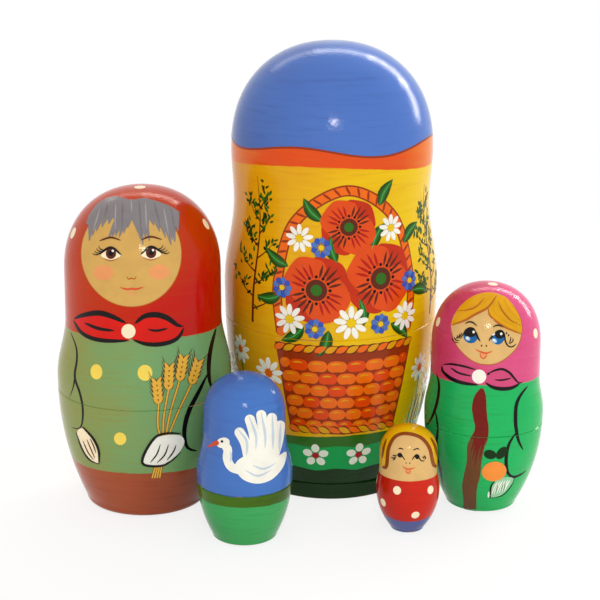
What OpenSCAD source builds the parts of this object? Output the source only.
// A set of matryoshka dolls standing apart: four hollow dolls, each turned in two halves,
// and a smallest doll turned solid. A spigot on each lower half plugs into a socket in its
// upper half, and each doll is small enough to go inside the one before it.
// Millimetres, +Z up, the origin in the middle of the largest doll's base.

/* [Largest doll] */
// Height over the dome
largest_h = 170; // [160:1:185]
// Width at the widest place of the head
largest_head_d = 76; // [72:0.2:80]
// Height of the widest place of the head
largest_head_z = 130.6; // [122:0.2:140]
// Width at the neck
largest_neck_d = 74.2; // [68:0.2:78]
// Height of the neck
largest_neck_z = 111; // [102:0.2:118]
// Width at the belly
largest_belly_d = 81.6; // [76:0.2:90]
// Height of the belly
largest_belly_z = 79; // [72:0.2:90]
// Width that the body tapers to at the table
largest_foot_d = 57; // [50:0.2:64]
// Height of the turned disc under the body
largest_plinth_h = 6; // [4:0.2:10]
// How far that disc stands out from the body
largest_ledge = 0.7; // [0.4:0.1:2]
// Rounding of the bottom edge
largest_edge_r = 1; // [0.5:0.1:2.5]
// Height of the seam between the halves
largest_seam_z = 66; // [58:0.2:72]
// Thickness of the walls
largest_wall = 5; // [4.2:0.1:6]
// Thickness of the upper half's rim outside the spigot
largest_lip = 2.3; // [1.8:0.1:3]
// Height of the spigot
largest_spigot_h = 10; // [7:0.2:14]
// Thickness of the floor
largest_floor = 7.2; // [6.6:0.2:12]
// Thickness at the top of the dome
largest_crown = 6; // [4:0.2:10]

/* [Second doll] */
// Height over the dome
second_h = 120.4; // [112:0.2:130]
// Width at the widest place of the head
second_head_d = 57.6; // [54:0.2:61]
// Height of the widest place of the head
second_head_z = 89.4; // [82:0.2:98]
// Width at the neck
second_neck_d = 57.8; // [53:0.2:61]
// Height of the neck
second_neck_z = 72.4; // [66:0.2:79]
// Width at the belly
second_belly_d = 65; // [61:0.2:68]
// Height of the belly
second_belly_z = 49.6; // [46:0.2:58]
// Width that the body tapers to at the table
second_foot_d = 43.6; // [38:0.2:50]
// Rounding of the bottom edge
second_edge_r = 2.6; // [1:0.1:4]
// Height of the seam between the halves
second_seam_z = 45; // [38:0.2:46]
// Thickness of the walls
second_wall = 4.4; // [3.8:0.1:5]
// Thickness of the upper half's rim outside the spigot
second_lip = 2; // [1.6:0.1:2.6]
// Height of the spigot
second_spigot_h = 8; // [6:0.2:11]
// Thickness of the floor
second_floor = 5.6; // [4:0.2:8]
// Thickness at the top of the dome
second_crown = 5; // [3:0.2:8]

/* [Third doll] */
// Height over the dome
third_h = 85.4; // [80:0.2:92]
// Width at the widest place of the head
third_head_d = 40.4; // [38:0.2:43]
// Height of the widest place of the head
third_head_z = 62.4; // [57:0.2:68]
// Width at the neck
third_neck_d = 40.6; // [38:0.2:43]
// Height of the neck
third_neck_z = 50.6; // [46:0.2:55]
// Width at the belly
third_belly_d = 44.4; // [42:0.2:48]
// Height of the belly
third_belly_z = 36.8; // [34:0.2:42]
// Width that the body tapers to at the table
third_foot_d = 25.2; // [22:0.2:30]
// Rounding of the bottom edge
third_edge_r = 1.2; // [0.6:0.1:2.5]
// Height of the seam between the halves
third_seam_z = 33; // [28:0.2:34]
// Thickness of the walls
third_wall = 3.2; // [2.8:0.1:3.8]
// Thickness of the upper half's rim outside the spigot
third_lip = 1.5; // [1.2:0.1:1.9]
// Height of the spigot
third_spigot_h = 6; // [4:0.2:8]
// Thickness of the floor
third_floor = 4.6; // [3:0.2:6]
// Thickness at the top of the dome
third_crown = 4; // [2.6:0.2:6]

/* [Fourth doll] */
// Height over the dome
fourth_h = 61; // [57:0.2:66]
// Width at the widest place of the head
fourth_head_d = 29.2; // [27:0.2:32]
// Height of the widest place of the head
fourth_head_z = 46.4; // [42:0.2:50]
// Width at the neck
fourth_neck_d = 29.8; // [27:0.2:32]
// Height of the neck
fourth_neck_z = 38.4; // [35:0.2:41]
// Width at the belly
fourth_belly_d = 34.4; // [32:0.2:36]
// Height of the belly
fourth_belly_z = 24.4; // [22:0.2:29]
// Width that the body tapers to at the table
fourth_foot_d = 22.4; // [20:0.2:26]
// Rounding of the bottom edge
fourth_edge_r = 1.2; // [0.5:0.1:2]
// Height of the seam between the halves
fourth_seam_z = 21; // [18:0.2:22]
// Thickness of the walls
fourth_wall = 2.8; // [2.4:0.1:3.4]
// Thickness of the upper half's rim outside the spigot
fourth_lip = 1.3; // [1:0.1:1.6]
// Height of the spigot
fourth_spigot_h = 5; // [3.4:0.2:7]
// Thickness of the floor
fourth_floor = 3.6; // [2.4:0.2:5]
// Thickness at the top of the dome
fourth_crown = 3.6; // [2.4:0.2:5]

/* [Smallest doll] */
// Height over the dome
smallest_h = 39.4; // [36:0.2:43]
// Width at the widest place of the head
smallest_head_d = 21; // [19:0.2:23]
// Height of the widest place of the head
smallest_head_z = 29; // [26:0.2:32]
// Width at the neck
smallest_neck_d = 21; // [19:0.2:23]
// Height of the neck
smallest_neck_z = 24; // [21:0.2:25.6]
// Width at the belly
smallest_belly_d = 23; // [21:0.2:25]
// Height of the belly
smallest_belly_z = 16; // [14:0.2:19]
// Width that the body tapers to at the table
smallest_foot_d = 11; // [9:0.2:14]
// Rounding of the bottom edge
smallest_edge_r = 0.8; // [0.4:0.1:1.4]

/* [Fits] */
// Play around each spigot in its socket
fit_play = 0.08; // [0.04:0.01:0.1]
// Free depth above the end of each spigot
end_play = 0.4; // [0.2:0.1:1]
// Bevel on the rims, which shows as a fine line at the seam
rim_ease = 0.3; // [0.1:0.1:0.6]

/* [Layout] */
// Way from the largest doll to the second, in degrees
second_way = 200.6; // [190:0.2:220]
// Gap between the largest doll and the second
second_gap = 1.3; // [0.8:0.1:30]
// Way from the largest doll to the third, in degrees
third_way = 333; // [320:0.2:345]
// Gap between the largest doll and the third
third_gap = 1.4; // [0.8:0.1:30]
// Way from the second doll to the fourth, in degrees
fourth_way = 316.5; // [300:0.2:325]
// Gap between the second doll and the fourth
fourth_gap = 3.4; // [0.8:0.1:20]
// Way from the third doll to the smallest, in degrees
smallest_way = 222.2; // [210:0.2:240]
// Gap between the third doll and the smallest
smallest_gap = 6.2; // [0.8:0.1:20]

/* [Hidden] */

// Points along each stretch of an outline, and facets round a turned piece on screen
stretch_steps = 14;
$fn = 96;

// Powers of the dome's rounding and of the taper below the belly
dome_power_share = 2.2;
taper_power_share = 2.2;

// Outer form of each doll, as turned
largest_form = [
    largest_h, largest_head_d / 2, largest_head_z, largest_neck_d / 2, largest_neck_z,
    largest_belly_d / 2, largest_belly_z, largest_foot_d / 2, largest_edge_r
];
second_form = [
    second_h, second_head_d / 2, second_head_z, second_neck_d / 2, second_neck_z,
    second_belly_d / 2, second_belly_z, second_foot_d / 2, second_edge_r
];
third_form = [
    third_h, third_head_d / 2, third_head_z, third_neck_d / 2, third_neck_z,
    third_belly_d / 2, third_belly_z, third_foot_d / 2, third_edge_r
];
fourth_form = [
    fourth_h, fourth_head_d / 2, fourth_head_z, fourth_neck_d / 2, fourth_neck_z,
    fourth_belly_d / 2, fourth_belly_z, fourth_foot_d / 2, fourth_edge_r
];
smallest_form = [
    smallest_h, smallest_head_d / 2, smallest_head_z, smallest_neck_d / 2, smallest_neck_z,
    smallest_belly_d / 2, smallest_belly_z, smallest_foot_d / 2, smallest_edge_r
];

// Names for the places in a form
function form_h(f) = f[0];
function head_r(f) = f[1];
function head_z(f) = f[2];
function neck_r(f) = f[3];
function neck_z(f) = f[4];
function belly_r(f) = f[5];
function belly_z(f) = f[6];
function foot_r(f) = f[7];
function edge_r(f) = f[8];
function widest_r(f) = max(head_r(f), belly_r(f));

// Seam and hollow of each doll that opens: seam height, wall, lip, spigot height, floor, crown
largest_hollow = [
    largest_seam_z, largest_wall, largest_lip, largest_spigot_h, largest_floor, largest_crown
];
second_hollow = [
    second_seam_z, second_wall, second_lip, second_spigot_h, second_floor, second_crown
];
third_hollow = [third_seam_z, third_wall, third_lip, third_spigot_h, third_floor, third_crown];
fourth_hollow = [
    fourth_seam_z, fourth_wall, fourth_lip, fourth_spigot_h, fourth_floor, fourth_crown
];

// Names for the places in a hollow
function seam_z(c) = c[0];
function wall(c) = c[1];
function lip(c) = c[2];
function spigot_h(c) = c[3];
function floor_t(c) = c[4];
function crown_t(c) = c[5];

// Where each doll stands: beside another, along a way, with a gap between their widest places
function beside(from, from_form, form, way, gap) =
    from + (widest_r(from_form) + widest_r(form) + gap) * [cos(way), sin(way)];
largest_at = [0, 0];
second_at = beside(largest_at, largest_form, second_form, second_way, second_gap);
third_at = beside(largest_at, largest_form, third_form, third_way, third_gap);
fourth_at = beside(second_at, second_form, fourth_form, fourth_way, fourth_gap);
smallest_at = beside(third_at, third_form, smallest_form, smallest_way, smallest_gap);

// A smooth step from 0 to 1 as t goes from 0 to 1
function ease(t) = (1 - cos(180 * t)) / 2;

// Radius of a doll's outside at a height
function dome_r(f, top, r, z) =
    r * pow(1 - pow((z - head_z(f)) / (top - head_z(f)), dome_power_share), 1 / dome_power_share);
function neck_to_head_r(f, z) =
    neck_r(f) + (head_r(f) - neck_r(f)) * ease((z - neck_z(f)) / (head_z(f) - neck_z(f)));
function belly_to_neck_r(f, z) =
    belly_r(f) + (neck_r(f) - belly_r(f)) * ease((z - belly_z(f)) / (neck_z(f) - belly_z(f)));
function taper_r(f, z) =
    foot_r(f) + (belly_r(f) - foot_r(f)) * (1 - pow(1 - z / belly_z(f), taper_power_share));
function outside_r(f, z) =
    z > head_z(f) ? dome_r(f, form_h(f), head_r(f), z)
    : z > neck_z(f) ? neck_to_head_r(f, z)
    : z > belly_z(f) ? belly_to_neck_r(f, z)
    : taper_r(f, z);

// Heights from a to b in even steps, both ends included
function heights(a, b) = [for (i = [0:stretch_steps]) a + (b - a) * i / stretch_steps];

// A wall's outline between two heights below the head, set in from the outside by inset
function wall_points(f, a, b, inset = 0) = [for (z = heights(a, b)) [outside_r(f, z) - inset, z]];

// A dome's outline from the head to the middle of the top, for the outside or the inside
function dome_points(f, top, r) = [
    for (i = [1:stretch_steps])
        let (a = 90 * i / stretch_steps)
        let (across = pow(cos(a), 2 / dome_power_share))
        let (up = pow(sin(a), 2 / dome_power_share))
        [i < stretch_steps ? r * across : 0, head_z(f) + (top - head_z(f)) * up]
];

// A rounded bottom edge, from the flat base up to the side of radius r
function edge_points(f, r) = [
    for (i = [0:stretch_steps])
        let (a = 90 * i / stretch_steps)
        [r - edge_r(f) * (1 - sin(a)), edge_r(f) * (1 - cos(a))]
];

// The base of a doll whose side runs down to the table
function plain_base(f) = concat([[0, 0]], edge_points(f, outside_r(f, edge_r(f))));

// The largest doll's base, a disc that stands out a little under the body
plinth_r = outside_r(largest_form, largest_plinth_h) + largest_ledge;
plinth_top_r = plinth_r - largest_ledge / 2;
largest_base = concat(
    [[0, 0]],
    edge_points(largest_form, plinth_r),
    [[plinth_r, largest_plinth_h - largest_ledge / 2], [plinth_top_r, largest_plinth_h]]
);

// Radii of a doll's rim, its socket, its spigot and the bore through the spigot
function rim_r(f, c) = outside_r(f, seam_z(c));
function socket_r(f, c) = rim_r(f, c) - lip(c);
function spigot_r(f, c) = socket_r(f, c) - fit_play;
function bore_r(f, c) = rim_r(f, c) - wall(c);

// A lower half: its base, the tapering side, the rim and spigot, and the hollow down to the floor
module lower_half(f, c, base, side_z) {
    spigot_top = seam_z(c) + spigot_h(c);
    rotate_extrude()
        polygon(concat(
            base,
            wall_points(f, side_z, seam_z(c) - rim_ease),
            [[rim_r(f, c) - rim_ease, seam_z(c)], [spigot_r(f, c), seam_z(c)]],
            [[spigot_r(f, c), spigot_top - rim_ease], [spigot_r(f, c) - rim_ease, spigot_top]],
            [[bore_r(f, c), spigot_top]],
            wall_points(f, seam_z(c), floor_t(c), wall(c)),
            [[0, floor_t(c)]]
        ));
}

// An upper half: the rim, the shoulder and the dome outside, the hollow and the socket inside
module upper_half(f, c) {
    socket_top = seam_z(c) + spigot_h(c) + end_play;
    inner_dome = dome_points(f, form_h(f) - crown_t(c), head_r(f) - wall(c));
    inner_top = len(inner_dome) - 1;
    rotate_extrude()
        polygon(concat(
            [[socket_r(f, c), seam_z(c)], [rim_r(f, c) - rim_ease, seam_z(c)]],
            wall_points(f, seam_z(c) + rim_ease, belly_z(f)),
            [for (p = wall_points(f, belly_z(f), neck_z(f))) if (p.y > belly_z(f)) p],
            [for (p = wall_points(f, neck_z(f), head_z(f))) if (p.y > neck_z(f)) p],
            dome_points(f, form_h(f), head_r(f)),
            [for (i = [0:inner_top]) inner_dome[inner_top - i]],
            wall_points(f, head_z(f), neck_z(f), wall(c)),
            [for (p = wall_points(f, neck_z(f), socket_top, wall(c))) if (p.y < neck_z(f)) p],
            [[socket_r(f, c), socket_top]]
        ));
}

// A doll turned in one piece, with no hollow
module solid_doll(f) {
    rotate_extrude()
        polygon(concat(
            plain_base(f),
            [for (p = wall_points(f, edge_r(f), belly_z(f))) if (p.y > edge_r(f)) p],
            [for (p = wall_points(f, belly_z(f), neck_z(f))) if (p.y > belly_z(f)) p],
            [for (p = wall_points(f, neck_z(f), head_z(f))) if (p.y > neck_z(f)) p],
            dome_points(f, form_h(f), head_r(f))
        ));
}

module largest_lower() {
    color("darkgreen")
        translate(largest_at)
            lower_half(largest_form, largest_hollow, largest_base, largest_plinth_h);
}

module largest_upper() {
    color("gold")
        translate(largest_at)
            upper_half(largest_form, largest_hollow);
}

module second_lower() {
    color("sienna")
        translate(second_at)
            lower_half(second_form, second_hollow, plain_base(second_form), second_edge_r);
}

module second_upper() {
    color("orangered")
        translate(second_at)
            upper_half(second_form, second_hollow);
}

module third_lower() {
    color("seagreen")
        translate(third_at)
            lower_half(third_form, third_hollow, plain_base(third_form), third_edge_r);
}

module third_upper() {
    color("hotpink")
        translate(third_at)
            upper_half(third_form, third_hollow);
}

module fourth_lower() {
    color("mediumseagreen")
        translate(fourth_at)
            lower_half(fourth_form, fourth_hollow, plain_base(fourth_form), fourth_edge_r);
}

module fourth_upper() {
    color("cornflowerblue")
        translate(fourth_at)
            upper_half(fourth_form, fourth_hollow);
}

module smallest_solid() {
    color("firebrick")
        translate(smallest_at)
            solid_doll(smallest_form);
}

largest_lower();
largest_upper();
second_lower();
second_upper();
third_lower();
third_upper();
fourth_lower();
fourth_upper();
smallest_solid();
